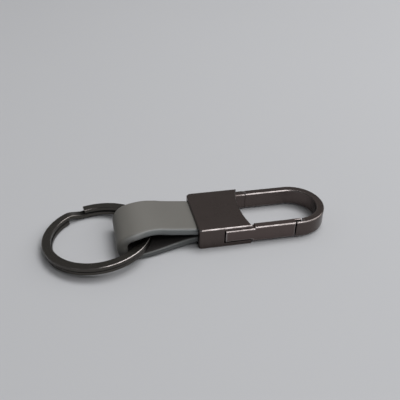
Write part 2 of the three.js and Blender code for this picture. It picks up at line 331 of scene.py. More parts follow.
class Finish(Graph):
    """A new material's node tree, with its one shader."""

    def __init__(self, name):
        self.material = bpy.data.materials.new(name)
        self.material.use_nodes = True
        super().__init__(self.material.node_tree)
        self.tree.nodes.clear()

    def shader(self, sockets):
        surface = self.add("ShaderNodeBsdfPrincipled", sockets)
        self.add("ShaderNodeOutputMaterial", {"Surface": surface})
        return self.material

    def place(self):
        return self.add("ShaderNodeTexCoord", out="Object")

    def in_mm(self, place):
        """A place counted in millimetres."""
        sockets = {0: place, 1: (PER_MM, PER_MM, PER_MM)}
        return self.add("ShaderNodeVectorMath", sockets, operation="MULTIPLY")

    def attribute(self, name):
        return self.add("ShaderNodeAttribute", out="Fac", attribute_name=name)

    def bump(self, height, strength, depth):
        return self.add("ShaderNodeBump", {"Height": height, "Strength": strength, "Distance": depth})


METAL_DEPTH = 0.01 * MM
LEATHER_DEPTH = 0.05 * MM

# How much of the worn colour shows on a rubbed edge, and how much smoother the edge is. The worn colour is
# partly wear and partly a painted highlight that makes the bevels glint brighter.
WORN_AND_SHEEN_SHARE = 0.9
WORN_POLISH = 0.06


def plated_metal(name, colour, worn, roughness):
    """Satin plating: fine blasted grain, faint handling marks, and brighter edges, partly wear and partly
    painted highlight.
    """
    finish = Finish(name)
    place = finish.in_mm(finish.place())
    grain = finish.noise(place, scale=9.0, detail=3.0, roughness=0.6)
    clouds = finish.noise(place, scale=0.22, detail=4.0, roughness=0.55)
    marks = finish.noise(place, scale=0.5, detail=3.0, roughness=0.5)
    wear = finish.attribute("rim") * (0.5 + 0.5 * finish.smooth(marks, 0.3, 0.7))
    plain = finish.uneven(clouds, colour, dark=0.95, light=1.05)
    dullness = roughness + finish.sway(clouds, 0.04) + finish.sway(grain, 0.03)
    return finish.shader({
        "Base Color": finish.mix(WORN_AND_SHEEN_SHARE * wear, plain, worn),
        "Metallic": 1.0,
        "Roughness": dullness - WORN_POLISH * wear,
        "Normal": finish.bump(grain, strength=0.02, depth=METAL_DEPTH),
    })


# The wire's rubbed edge, partly wear and partly painted highlight, and the groove between the turns with its
# painted shade, as shares of the wire's height
RUB_AND_SHEEN_START = (0.82, 0.88)
RUB_AND_SHEEN_END = (0.97, 1.0)
GROOVE_BELOW = (0.78, 0.84)
GROOVE_ABOVE = (0.2, 0.14)
GROOVE_SHADE_SHARE = 0.85
GROOVE_SHADE_BLACK = (0.004, 0.004, 0.004)
GROOVE_DULLING = 0.3

# Where the edge's painted highlight shows, on the front right, and where painted shade under the fold dims
# it, in millimetres from the ring's centre; then the least share of wear and highlight elsewhere
HIGHLIGHT_SIDE = (0.0, 12.0)
FOLD_SHADE_SPAN = (13.0, 11.0)
LEAST_RUB_AND_SHEEN = 0.3


def drawn_wire(name, colour, worn, roughness, centre, turn, height, rise):
    """Plated flat wire: rolling lines round the ring, edges brightened by wear and painted highlight, and
    painted shade in the groove between the turns.
    """
    finish = Finish(name)
    sockets = {"Vector": finish.place(), "Location": centre, "Rotation": turn}
    flat = finish.in_mm(finish.add("ShaderNodeMapping", sockets, vector_type="TEXTURE"))
    x, y, z = finish.axes(flat)
    out = finish.math("POWER", x * x + y * y, 0.5)
    angle = finish.math("ARCTAN2", y, x)
    wound = finish.add("ShaderNodeCombineXYZ", {"X": out * 9.0, "Y": angle * 4.0, "Z": z * 9.0})
    lines = finish.noise(wound, scale=1.0, detail=3.0, roughness=0.6)
    clouds = finish.noise(flat, scale=0.3, detail=4.0, roughness=0.55)
    marks = finish.noise(flat, scale=0.5, detail=3.0, roughness=0.5)
    climb = finish.attribute("climb")
    level = (z - rise * PER_MM * climb) / (height * PER_MM)
    edge = finish.smooth(level, *RUB_AND_SHEEN_START) * (1.0 - finish.smooth(level, *RUB_AND_SHEEN_END))
    # Painted shade: the groove between the turns is painted near black, which also hides its reflections.
    below = finish.smooth(level, *GROOVE_BELOW)
    above = finish.smooth(level, *GROOVE_ABOVE)
    groove_shade = (1.0 - climb) * below + climb * above
    # Painted highlight: the edges glint brightest on the front right, and painted shade dims them where the
    # fold covers the ring.
    highlight_place = finish.smooth(x - y, *HIGHLIGHT_SIDE) * finish.smooth(x, *FOLD_SHADE_SPAN)
    wear = edge * (LEAST_RUB_AND_SHEEN + (1.0 - LEAST_RUB_AND_SHEEN) * highlight_place)
    plain = finish.uneven(clouds, colour, dark=0.93, light=1.07)
    coated = finish.mix(wear * (0.5 + 0.5 * finish.smooth(marks, 0.4, 0.7)), plain, worn)
    dullness = roughness + finish.sway(lines, 0.1) + finish.sway(clouds, 0.06)
    return finish.shader({
        "Base Color": finish.mix(GROOVE_SHADE_SHARE * groove_shade, coated, GROOVE_SHADE_BLACK),
        "Metallic": 1.0,
        "Roughness": dullness + GROOVE_DULLING * groove_shade,
        "Normal": finish.bump(lines, strength=0.04, depth=METAL_DEPTH),
    })


def spring_wire(name, colour):
    """Bare drawn wire."""
    finish = Finish(name)
    streaks = finish.noise(finish.in_mm(finish.place()), scale=4.0, detail=3.0, roughness=0.6)
    return finish.shader({
        "Base Color": finish.uneven(streaks, colour, dark=0.8, light=1.0),
        "Metallic": 1.0,
        "Roughness": 0.25 + 0.15 * streaks,
        "Normal": finish.bump(streaks, strength=0.1, depth=METAL_DEPTH),
    })


# How much darker the pores are and how much painted shade darkens the paint on the lower run, how much
# painted light brightens the bend, and the painted highlight along the edge's upper rounding
PORE_SHARE = 0.1
LOWER_PAINTED_SHADE = 0.46
BEND_SHARE = 0.6
EDGE_HIGHLIGHT_SHARE = 0.4
EDGE_HIGHLIGHT_TINT = (0.4, 0.4, 0.4)
EDGE_HIGHLIGHT_START = (0.15, 0.5)
EDGE_HIGHLIGHT_END = (0.5, 0.95)
BLACK = (0.0, 0.0, 0.0)

# How rough the grain is, and how much rougher the flesh side and smoother the paint are
LEATHER_ROUGHNESS = 0.56
FLESH_DULLING = 0.3
PAINT_POLISH = 0.28


def leather_finish(name, grain_side, flesh_side, edge_paint):
    """Smooth grain leather with painted edges and a rough flesh side inside the fold, with painted shade,
    light and highlight on the edges and the bend.
    """
    finish = Finish(name)
    along = finish.add("ShaderNodeUVMap", uv_map="Strap")
    edge, inner, bend, lower = [finish.attribute(layer) for layer in ("edge", "inner", "bend", "lower")]
    cells = finish.add("ShaderNodeTexVoronoi", {"Vector": along, "Scale": 2.6}, feature="SMOOTH_F1")
    pores = finish.noise(along, scale=5.5, detail=3.0, roughness=0.6)
    clouds = finish.noise(along, scale=0.16, detail=4.0, roughness=0.6)
    fibres = finish.noise(along, scale=3.2, detail=5.0, roughness=0.75)
    height = (cells * 0.6 + pores * 0.4) * (1.0 - inner) + fibres * 1.6 * inner
    plain = finish.uneven(clouds, grain_side, dark=0.93, light=1.07)
    plain = finish.mix(PORE_SHARE * pores, plain, [0.7 * part for part in grain_side])
    # Painted light: the grain is lighter where the strap bends over the crown.
    plain = finish.mix(BEND_SHARE * bend, plain, [1.25 * part for part in grain_side])
    rough = finish.uneven(fibres, flesh_side, dark=0.8, light=1.15)
    painted = finish.uneven(clouds, edge_paint, dark=0.92, light=1.08)
    # Painted shade: the edge paint on the lower run, under the upper run, is darker.
    painted = finish.mix(LOWER_PAINTED_SHADE * lower, painted, BLACK)
    # Painted highlight: a lighter line along the top of the painted edge.
    edge_highlight = finish.smooth(edge, *EDGE_HIGHLIGHT_START) * (1.0 - finish.smooth(edge, *EDGE_HIGHLIGHT_END)) * (1.0 - lower)
    colour = finish.mix(edge, finish.mix(inner, plain, rough), painted)
    dullness = LEATHER_ROUGHNESS + finish.sway(clouds, 0.1) + finish.sway(pores, 0.12)
    return finish.shader({
        "Base Color": finish.mix(EDGE_HIGHLIGHT_SHARE * edge_highlight, colour, EDGE_HIGHLIGHT_TINT),
        "Roughness": dullness + FLESH_DULLING * inner - PAINT_POLISH * edge,
        "Specular IOR Level": 0.5,
        "Normal": finish.bump(height * (1.0 - 0.8 * edge), strength=0.22, depth=LEATHER_DEPTH),
    })


def floor_finish(name, colour):
    """A plain matt floor with a breath of unevenness."""
    finish = Finish(name)
    clouds = finish.noise(finish.place(), scale=9.0, detail=2.0, roughness=0.5)
    return finish.shader({
        "Base Color": finish.uneven(clouds, colour, dark=0.99, light=1.01),
        "Roughness": 0.85,
        "Specular IOR Level": 0.1,
    })


def ease(value, low, high):
    """0 before low, 1 after high, and smooth between."""
    share = min(max((value - low) / (high - low), 0.0), 1.0)
    return share * share * (3 - 2 * share)


def between(first, second, share):
    return first + (second - first) * share


def arc(centre, radius, start, end, steps):
    """Points on a round stretch of an outline, angles in degrees."""
    points = []
    for step in range(steps + 1):
        angle = math.radians(start + (end - start) * step / steps)
        points.append(Vector((centre[0] + radius * math.cos(angle), centre[1] + radius * math.sin(angle))))
    return points


FILLET_STEPS = 5
LEAST_ROUND = 0.004 * MM


def fillet(before, corner, after, radius, steps=FILLET_STEPS):
    """The points of a corner rounded to a radius."""
    corner = Vector(corner)
    back = (Vector(before) - corner).normalized()
    ahead = (Vector(after) - corner).normalized()
    half = back.angle(ahead) / 2
    centre = corner + (back + ahead).normalized() * radius / math.sin(half)
    start = corner + back * radius / math.tan(half) - centre
    end = corner + ahead * radius / math.tan(half) - centre
    points = []
    for step in range(steps + 1):
        share = step / steps
        angle = math.atan2(start.y, start.x) + share * math.atan2(start.cross(end), start.dot(end))
        points.append(centre + radius * Vector((math.cos(angle), math.sin(angle))))
    return points


def inset(corners, distance):
    """An anticlockwise outline moved inwards."""
    count = len(corners)
    moved = []
    for number, point in enumerate(corners):
        one = (point - corners[number - 1]).normalized()
        two = (corners[(number + 1) % count] - point).normalized()
        inward = Vector((-one.y, one.x)) + Vector((-two.y, two.x))
        moved.append(point + inward * distance / (1.0 + one.dot(two)))
    return moved


def soft_polygon(corners, radius, steps=FILLET_STEPS):
    """An outline with rounded corners, as a function of how far it is drawn in."""
    count = len(corners)

    def outline(distance):
        moved = inset([Vector(corner) for corner in corners], distance)
        points = []
        for number, corner in enumerate(moved):
            before = moved[number - 1]
            after = moved[(number + 1) % count]
            outer = (corner - before).cross(after - corner) > 0
            bend = max(radius - distance, LEAST_ROUND) if outer else radius + distance
            points += fillet(before, corner, after, bend, steps)
        return points

    return outline


def rectangle(low, high):
    """The corners of an upright rectangle, anticlockwise."""
    return [(low[0], low[1]), (high[0], low[1]), (high[0], high[1]), (low[0], high[1])]


def add_object(name, bm):
    """A new object in the scene from a bmesh."""
    bmesh.ops.recalc_face_normals(bm, faces=bm.faces)
    mesh = bpy.data.meshes.new(name)
    bm.to_mesh(mesh)
    bm.free()
    obj = bpy.data.objects.new(name, mesh)
    bpy.context.scene.collection.objects.link(obj)
    return obj


def skin(bm, rings):
    """Faces between rings of points, with a flat face on each end."""
    for lower, upper in zip(rings, rings[1:]):
        for side in range(len(lower)):
            following = (side + 1) % len(lower)
            bm.faces.new((lower[side], lower[following], upper[following], upper[side]))
    bm.faces.new(rings[0])
    bm.faces.new(rings[-1])


BEVEL_STEPS = 3


def rim_levels(bevel, soft, shoulder):
    """A softened bevel's steps: how far in, how far from the end face, and the rim attribute."""
    inside = (bevel + shoulder, 0.0)
    outside = (0.0, bevel + shoulder)
    points = fillet(inside, (bevel, 0.0), (0.0, bevel), soft, BEVEL_STEPS)
    points += fillet((bevel, 0.0), (0.0, bevel), outside, soft, BEVEL_STEPS)
    return [(*inside, 0.0), *((point.x, point.y, 1.0) for point in points), (*outside, 0.0)]


def evenly(share):
    """A share of wear and painted highlight that is the same all round an outline."""
    return lambda point: share


def bevelled_bar(name, outline, low, high, low_rim, high_rim, stand="Z", rubbed=evenly(1.0)):
    """An outline drawn out from low to high along Z or Y, with a softened bevel round both rims.

    On the bevels the rim attribute is each point's share of wear and painted highlight. It fades to 0 over
    the shoulder.
    """
    levels = [(off, low + height, rim) for off, height, rim in rim_levels(*low_rim)]
    levels += [(off, high - height, rim) for off, height, rim in reversed(rim_levels(*high_rim))]
    bm = bmesh.new()
    rim_layer = bm.verts.layers.float.new("rim")
    rings = []
    for off, height, rim in levels:
        ring = []
        for point in outline(off):
            place = (point.x, point.y, height) if stand == "Z" else (point.x, height, point.y)
            vert = bm.verts.new(place)
            vert[rim_layer] = rim * rubbed(point)
            ring.append(vert)
        rings.append(ring)
    skin(bm, rings)
    return add_object(name, bm)


TURNED_STEPS = 48


def turned(name, profile, centre, stand="Z"):
    """A round piece from a profile of radius and height, standing along Z or Y through a centre."""
    x, y, z = centre
    bm = bmesh.new()
    bm.verts.layers.float.new("rim")
    rings = []
    for radius, height in profile:
        ring = []
        for point in arc((0.0, 0.0), radius, 0, 360 - 360 / TURNED_STEPS, TURNED_STEPS - 1):
            along_z = (x + point.x, y + point.y, height)
            along_y = (x + point.x, height, z + point.y)
            ring.append(bm.verts.new(along_z if stand == "Z" else along_y))
        rings.append(ring)
    skin(bm, rings)
    return add_object(name, bm)


def rod(name, centre, radius, low, high, stand="Z"):
    """A plain round tool."""
    return turned(name, [(radius, low), (radius, high)], centre, stand)


def block(name, low, high):
    """A plain square tool."""
    bm = bmesh.new()
    bm.verts.layers.float.new("rim")
    rings = [[bm.verts.new((x, y, z)) for x, y in rectangle(low, high)] for z in (low[2], high[2])]
    skin(bm, rings)
    return add_object(name, bm)


def remake(obj):
    """Puts an object's modifiers into its mesh."""
    depsgraph = bpy.context.evaluated_depsgraph_get()
    made = bpy.data.meshes.new_from_object(
        obj.evaluated_get(depsgraph), preserve_all_data_layers=True, depsgraph=depsgraph
    )
    old = obj.data
    obj.modifiers.clear()
    obj.data = made
    bpy.data.meshes.remove(old)


PLACE_DIGITS = 7


def place_key(vert):
    return tuple(round(part, PLACE_DIGITS) for part in vert.co)


def rims_by_place(obj):
    """The rim attribute of each of an object's points, found by where the point is."""
    rim = obj.data.attributes["rim"].data
    return {place_key(vert): rim[vert.index].value for vert in obj.data.vertices}


def work(target, operation, tools):
    """Cuts the tools out of the target, or joins them to it, and removes them.

    The rim attribute is set again afterwards, because a join mixes up the values of its two meshes.
    """
    for tool in tools:
        rims = rims_by_place(tool)
        rims.update(rims_by_place(target))
        step = target.modifiers.new(tool.name, "BOOLEAN")
        step.operation = operation
        step.solver = "EXACT"
        step.object = tool
        remake(target)
        bpy.data.objects.remove(tool)
        for vert, value in zip(target.data.vertices, target.data.attributes["rim"].data):
            value.value = rims.get(place_key(vert), 0.0)


SMOOTH_ANGLE = math.radians(35)
FLAT_FACE_WEIGHT = 80


def shade(obj):
    """Smooth faces with sharp creases, and flat faces kept flat beside their rounded rims."""
    obj.data.shade_smooth()
    obj.data.set_sharp_from_angle(angle=SMOOTH_ANGLE)
    weighted = obj.modifiers.new("Even faces", "WEIGHTED_NORMAL")
    weighted.keep_sharp = True
    weighted.weight = FLAT_FACE_WEIGHT
    remake(obj)


def settle(obj, material, body, slot, *nodes):
    """Gives a finished piece its shading, its material and its body, and hides the nodes that it stands for.
    """
    shade(obj)
    obj.data.materials.clear()
    obj.data.materials.append(material)
    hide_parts(*nodes)
    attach(obj, body)


def gunmetal(name, colour=None):
    finish = bpy.context.scene.key_fob_finish
    return plated_metal(name, colour or finish.gunmetal, finish.gunmetal_worn_and_sheen, finish.gunmetal_roughness)


def metal_rims(sizes):
    """The lower and the upper rim of a metal piece: bevel, softness and the width of the wear and painted
    highlight.
    """
    bevels = (sizes.base_bevel, sizes.bevel)
    return [(bevel, sizes.bevel_soft * bevel / sizes.bevel, sizes.shoulder) for bevel in bevels]


FIT = 0.3 * MM
PIN_FIT = 0.1 * MM
MOUTH_DEPTH = 6.1 * MM
MOUTH_SILL = 0.55 * MM
MOUTH_CEILING = 5.96 * MM
SEAT_RADIUS = 1.6 * MM
SEAT_DEPTH = 1.2 * MM
SPIGOT_LOW = (5.5 * MM, 7.95 * MM, 1.875 * MM)
SPIGOT_HIGH = (11.2 * MM, 8.9 * MM, 4.475 * MM)
SPIGOT_FIT = 0.2 * MM
STUB_ROUND = 0.1 * MM
HOLLOW_STEPS = 32
CORNER_STEPS = 10
# Share of the worn colour on the hook and its stub, partly wear and partly painted highlight
HOOK_WEAR_AND_SHEEN = 0.75
SCREW_FIT = 0.12 * MM
SCREW_SHANK = 0.75 * MM
SCREW_RIM = 0.1 * MM
SCREW_HEAD = 0.8 * MM


def clasp_outline(sizes):
    """The clasp from above: rounded corners beside the strap and a hollow edge towards the hook."""
    radius = (HALF_WIDTH ** 2 + sizes.hollow ** 2) / (2 * sizes.hollow)
    centre = (CLASP_END - sizes.hollow + radius, 0.0)
    front = (MOUTH + sizes.corner, sizes.corner - HALF_WIDTH)
    back = (MOUTH - sizes.mouth_lead + sizes.back_corner, HALF_WIDTH - sizes.back_corner)

    def outline(distance):
        swing = math.degrees(math.asin((HALF_WIDTH - distance) / (radius + distance)))
        points = arc(centre, radius + distance, 180 + swing, 180 - swing, HOLLOW_STEPS)
        points += arc(back, sizes.back_corner - distance, 90, 180, CORNER_STEPS)
        points += arc(front, sizes.corner - distance, 180, 270, CORNER_STEPS)
        return points

    return outline


def screw_profile(gap, low):
    """A countersunk screw's outline, grown by a gap where it cuts its hole."""
    head = (SCREW.high.y - SCREW.low.y) / 2 + gap
    shank = SCREW_SHANK + gap
    cone_low = SCREW.low.z + SCREW_RIM
    cone_high = SCREW.low.z + SCREW_HEAD
    return [(head, low), (head, cone_low), (shank, cone_high), (shank, SCREW.high.z + gap)]


class KEYFOB_OT_clasp(bpy.types.Operator):
    """Build the clasp's body with its strap mouth, gate bay and hook stub"""

    bl_idname = "keyfob.clasp"
    bl_label = "Clasp Body"

    def execute(self, context):
        sizes = context.scene.key_fob_metal
        rims = metal_rims(sizes)
        inner_side = HALF_WIDTH - sizes.corner

        # Painted highlight: the worn colour goes only on the front and back edges, where the bevels glint,
        # and not beside the mouth and the hook.
        def rubbed(point):
            return ease(abs(point.y), inner_side, HALF_WIDTH)

        body = bevelled_bar("clasp", clasp_outline(sizes), 0.0, CLASP_TOP, *rims, rubbed=rubbed)
        stub_low = (SPIGOT_LOW[0], HALF_WIDTH - sizes.stub_thickness)
        stub_outline = soft_polygon(rectangle(stub_low, (STUB_END, HALF_WIDTH - HAIR)), STUB_ROUND)
        stub = bevelled_bar("stub", stub_outline, BAR_LOW, BAR_HIGH, *rims, rubbed=evenly(HOOK_WEAR_AND_SHEEN))
        work(body, "UNION", [stub])
        side = context.scene.key_fob_strap.width / 2 + FIT
        bay_back = sizes.bay_depth - HALF_WIDTH
        bay_low = (sizes.bay_start, -HALF_WIDTH - BEYOND, sizes.base_plate)
        bay_high = (CLASP_END + BEYOND, bay_back, CLASP_TOP - sizes.top_plate)
        socket_low = [corner - SPIGOT_FIT for corner in SPIGOT_LOW]
        socket_high = [corner + SPIGOT_FIT for corner in SPIGOT_HIGH]
        hook_hole = HOOK_PIN.radius + PIN_FIT
        hook_hole_low = HOOK_PIN.low.y - FIT
        cuts = [
            block("mouth", (MOUTH - BEYOND, -side, MOUTH_SILL), (MOUTH + MOUTH_DEPTH, side, MOUTH_CEILING)),
            block("bay", bay_low, bay_high),
            block("socket", socket_low, socket_high),
            rod("pin_hole", GATE_PIN.middle, GATE_PIN.radius + PIN_FIT, -BEYOND, GATE_PIN.high.z + PIN_FIT),
            rod("hook_pin_hole", HOOK_PIN.middle, hook_hole, hook_hole_low, HALF_WIDTH + BEYOND, "Y"),
            rod("spring_seat", SPRING.middle, SEAT_RADIUS, bay_back - BEYOND, bay_back + SEAT_DEPTH, "Y"),
        ]
        for y in (SCREW.middle.y, -SCREW.middle.y):
            cuts.append(turned("screw_hole", screw_profile(SCREW_FIT, -BEYOND), (SCREW.middle.x, y, 0.0)))
        work(body, "DIFFERENCE", cuts)
        settle(body, gunmetal("Clasp plating"), "clasp", "gunmetal", "clasp_body")
        return {"FINISHED"}


CORNER_ROUND = 0.12 * MM
INNER_BOW_STEPS = 64
OUTER_BOW_STEPS = 72


def hook_outline(sizes):
    """The hook's bar from above: the back arm, the half circle, and the lip in front of the gate's nose."""
    centre = (BOW_CENTRE, 0.0)

    def outline(distance):
        start = STUB_END + sizes.seam + distance
        outer = HALF_WIDTH - distance
        inner = HALF_WIDTH - sizes.bar_thickness + distance
        throat = sizes.throat + distance
        lip_inner = sizes.lip_thickness - HALF_WIDTH - distance
        lip_start = sizes.lip_start + distance
        throat_angle = math.degrees(math.acos((throat - BOW_CENTRE) / inner))
        rounding = max(CORNER_ROUND - distance, LEAST_ROUND)
        points = fillet((BOW_CENTRE, outer), (start, outer), (start, inner), rounding)
        points += fillet((start, outer), (start, inner), (BOW_CENTRE, inner), rounding)
        points += arc(centre, inner, 90, -throat_angle, INNER_BOW_STEPS)
        points += fillet((throat, 0.0), (throat, lip_inner), (lip_start, lip_inner), CORNER_ROUND + distance)
        points += fillet((throat, lip_inner), (lip_start, lip_inner), (lip_start, -outer), rounding)
        points += fillet((lip_start, lip_inner), (lip_start, -outer), (BOW_CENTRE, -outer), rounding)
        points += arc(centre, outer, -90, 90, OUTER_BOW_STEPS)
        return points

    return outline


class KEYFOB_OT_hook(bpy.types.Operator):
    """Build the hook's bent bar with its spigot"""

    bl_idname = "keyfob.hook"
    bl_label = "Hook Bow"

    def execute(self, context):
        sizes = context.scene.key_fob_metal
        rims = metal_rims(sizes)

        # Painted highlight: the worn colour fades out round the bow, where the glint fades.
        def rubbed(point):
            return HOOK_WEAR_AND_SHEEN * (1 - ease(point.x, BOW_CENTRE, BOW_CENTRE + HALF_WIDTH))

        bow = bevelled_bar("hook", hook_outline(sizes), BAR_LOW, BAR_HIGH, *rims, rubbed=rubbed)
        work(bow, "UNION", [block("spigot", SPIGOT_LOW, SPIGOT_HIGH)])
        low = SPIGOT_LOW[1] - BEYOND
        high = SPIGOT_HIGH[1] + BEYOND
        hole = rod("hook_pin_hole", HOOK_PIN.middle, HOOK_PIN.radius + PIN_FIT, low, high, "Y")
        work(bow, "DIFFERENCE", [hole])
        settle(bow, gunmetal("Hook plating"), "clasp", "gunmetal", "hook_bow")
        return {"FINISHED"}


NOSE_RIM = (0.18 * MM, 0.05 * MM, 0.06 * MM)
# Share of the worn colour on the gate, partly wear and partly painted highlight
GATE_WEAR_AND_SHEEN = 0.8


class KEYFOB_OT_gate(bpy.types.Operator):
    """Build the gate: its root on the pin, its bar and its nose"""

    bl_idname = "keyfob.gate"
    bl_label = "Gate"

    def execute(self, context):
        sizes = context.scene.key_fob_metal
        pivot = JOINTS["gate_swing"]["pos_m"]
        inner = sizes.bar_thickness - HALF_WIDTH
        start = GATE.low.x
        side_view = [
            (start, sizes.root_low),
            (sizes.gate_heel, sizes.root_low),
            (sizes.gate_heel, BAR_LOW),
            (sizes.gate_end, BAR_LOW),
            (sizes.gate_end, BAR_HIGH),
            (sizes.gate_step, BAR_HIGH),
            (sizes.gate_step, sizes.root_high),
            (start, sizes.root_high),
        ]
        outline = soft_polygon(side_view, CORNER_ROUND)
        rim = metal_rims(sizes)[1]
        bar = bevelled_bar("gate_bar", outline, -HALF_WIDTH, inner, rim, rim, "Y", evenly(GATE_WEAR_AND_SHEEN))
        nose_low = (sizes.gate_end - BEYOND, inner - sizes.nose_thickness)
        nose_high = (GATE.high.x, inner - HAIR)
        nose_outline = soft_polygon(rectangle(nose_low, nose_high), CORNER_ROUND)
        nose = bevelled_bar("nose", nose_outline, BAR_LOW + HAIR, BAR_HIGH - HAIR, NOSE_RIM, NOSE_RIM)
        knuckle = rod("knuckle", pivot, sizes.root_radius, sizes.root_low + HAIR, sizes.root_high - HAIR)
        work(bar, "UNION", [knuckle, nose])
        work(bar, "DIFFERENCE", [rod("pin_hole", pivot, sizes.pin_hole, 0.0, CLASP_TOP)])
        plating = gunmetal("Gate plating", context.scene.key_fob_finish.gate_metal)
        settle(bar, plating, "gate", "gunmetal", "gate")
        return {"FINISHED"}


class Knot:
    """A turning point of the strap's side view, in millimetres: its place, its heading and its reach."""

    def __init__(self, x, z, heading, reach_in, reach_out):
        self.place = Vector((x, z)) * MM
        self.before = self.place - Vector(heading) * reach_in * MM
        self.after = self.place + Vector(heading) * reach_out * MM


# The strap's middle line, from the upper end in the clasp, out and round the fold, back to the lower end
STRAP_KNOTS = (
    Knot(-2.0, 4.435, (-1.0, 0.0), 0.0, 2.5),
    Knot(-7.5, 4.435, (-1.0, 0.15), 2.0, 4.3),
    Knot(-20.4, 6.55, (-1.0, 0.3), 4.3, 5.25),
    Knot(-29.33, 3.8, (0.0, -1.0), 2.8, 2.0),
    Knot(-26.25, 0.915, (1.0, 0.0), 2.6, 7.0),
    Knot(-7.5, 1.755, (1.0, 0.14), 5.0, 2.0),
    Knot(-2.0, 1.755, (1.0, 0.0), 2.5, 0.0),
)
CURVE_SAMPLES = 200
STATION_STEP = 0.3 * MM
HEADING_SAMPLES = 3
TIGHTEST_BEND = 2.6 * MM


def strap_line():
    """Points close together along the strap's middle line, how far along each is, and where each knot is."""
    points = [STRAP_KNOTS[0].place]
    along = [0.0]
    marks = [0.0]
    for one, two in zip(STRAP_KNOTS, STRAP_KNOTS[1:]):
        for sample in range(1, CURVE_SAMPLES + 1):
            t = sample / CURVE_SAMPLES
            s = 1 - t
            point = s ** 3 * one.place + 3 * s * s * t * one.after
            point = point + 3 * s * t * t * two.before + t ** 3 * two.place
            along.append(along[-1] + (point - points[-1]).length)
            points.append(point)
        marks.append(along[-1])
    return points, along, marks


def strap_stations():
    """Evenly spaced points on the line: distance, place, outward direction and bend from 0 to 1."""
    points, along, marks = strap_line()
    count = round(marks[-1] / STATION_STEP)
    stations = []
    number = 0
    for step in range(count + 1):
        reach = marks[-1] * step / count
        while number < len(points) - 2 and along[number + 1] < reach:
            number += 1
        share = (reach - along[number]) / (along[number + 1] - along[number])
        place = points[number].lerp(points[number + 1], share)
        first = max(number - HEADING_SAMPLES, 0)
        last = min(number + 1 + HEADING_SAMPLES, len(points) - 1)
        heading = (points[last] - points[first]).normalized()
        stations.append([reach, place, Vector((heading.y, -heading.x)), 0.0])
    for before, station, after in zip(stations, stations[1:], stations[2:]):
        turn = before[2].angle(after[2]) / (after[0] - before[0])
        station[3] = min(turn * TIGHTEST_BEND, 1.0)
    return stations, marks


FACE_STEPS = 24
EDGE_STEPS = 8
EDGE_BULGE = 0.08 * MM

# Where the edge paint starts and is whole, in edge radii from the side, and where the flesh side starts
PAINT_START = 0.7
PAINT_WHOLE = 0.2
FLESH_START = -0.5


def strap_section(sizes, thickness, crown):
    """Points round the strap's section: across, outwards, and their shares of edge and of inner side."""
    half = sizes.width / 2
    thick = thickness / 2
    edge_round = sizes.edge_share * thickness
    outline = soft_polygon(rectangle((-half, -thick), (half, thick)), edge_round, EDGE_STEPS)(0.0)
    per_corner = len(outline) // 4
    points = []
    for corner in range(4):
        here = outline[corner * per_corner:(corner + 1) * per_corner]
        following = outline[(corner + 1) * per_corner % len(outline)]
        steps = FACE_STEPS if corner in (0, 2) else 2
        points += here
        points += [here[-1].lerp(following, step / steps) for step in range(1, steps)]
    section = []
    for point in points:
        edge = ease(abs(point.x), half - PAINT_START * edge_round, half - PAINT_WHOLE * edge_round)
        inner = 1.0 if point.y < FLESH_START * thick else 0.0
        swell = crown * (1 - (point.x / half) ** 2) if point.y > 0 else 0.0
        bulge = EDGE_BULGE * (1 - (point.y / thick) ** 2) if edge == 1.0 else 0.0
        section.append((point.x + math.copysign(bulge, point.x), point.y + swell, edge, inner * (1 - edge)))
    return section


# How far the fold sits and leans to the front, and how far before and after the bends it starts
CROWN_SHIFT = -2.5 * MM
TOUCH_SHIFT = -3.6 * MM
ROLL = 0.053
SHIFT_LEAD = 3.0 * MM
ROLL_LEAD = 4.0 * MM
CROWN_LAG = 1.0 * MM
ROLL_LAG = 2.0 * MM

# How much painted shade round the fold takes away the edge paint and darkens the edge, and over what length
# that comes and goes
FOLD_PAINT_SHADE = 0.9
FOLD_EDGE_SHADE = 0.8
FOLD_EDGE_SHADE_LEAD = 1.5 * MM
PAINT_FADE = 3.0 * MM

STRAP_CREASE = math.radians(60)


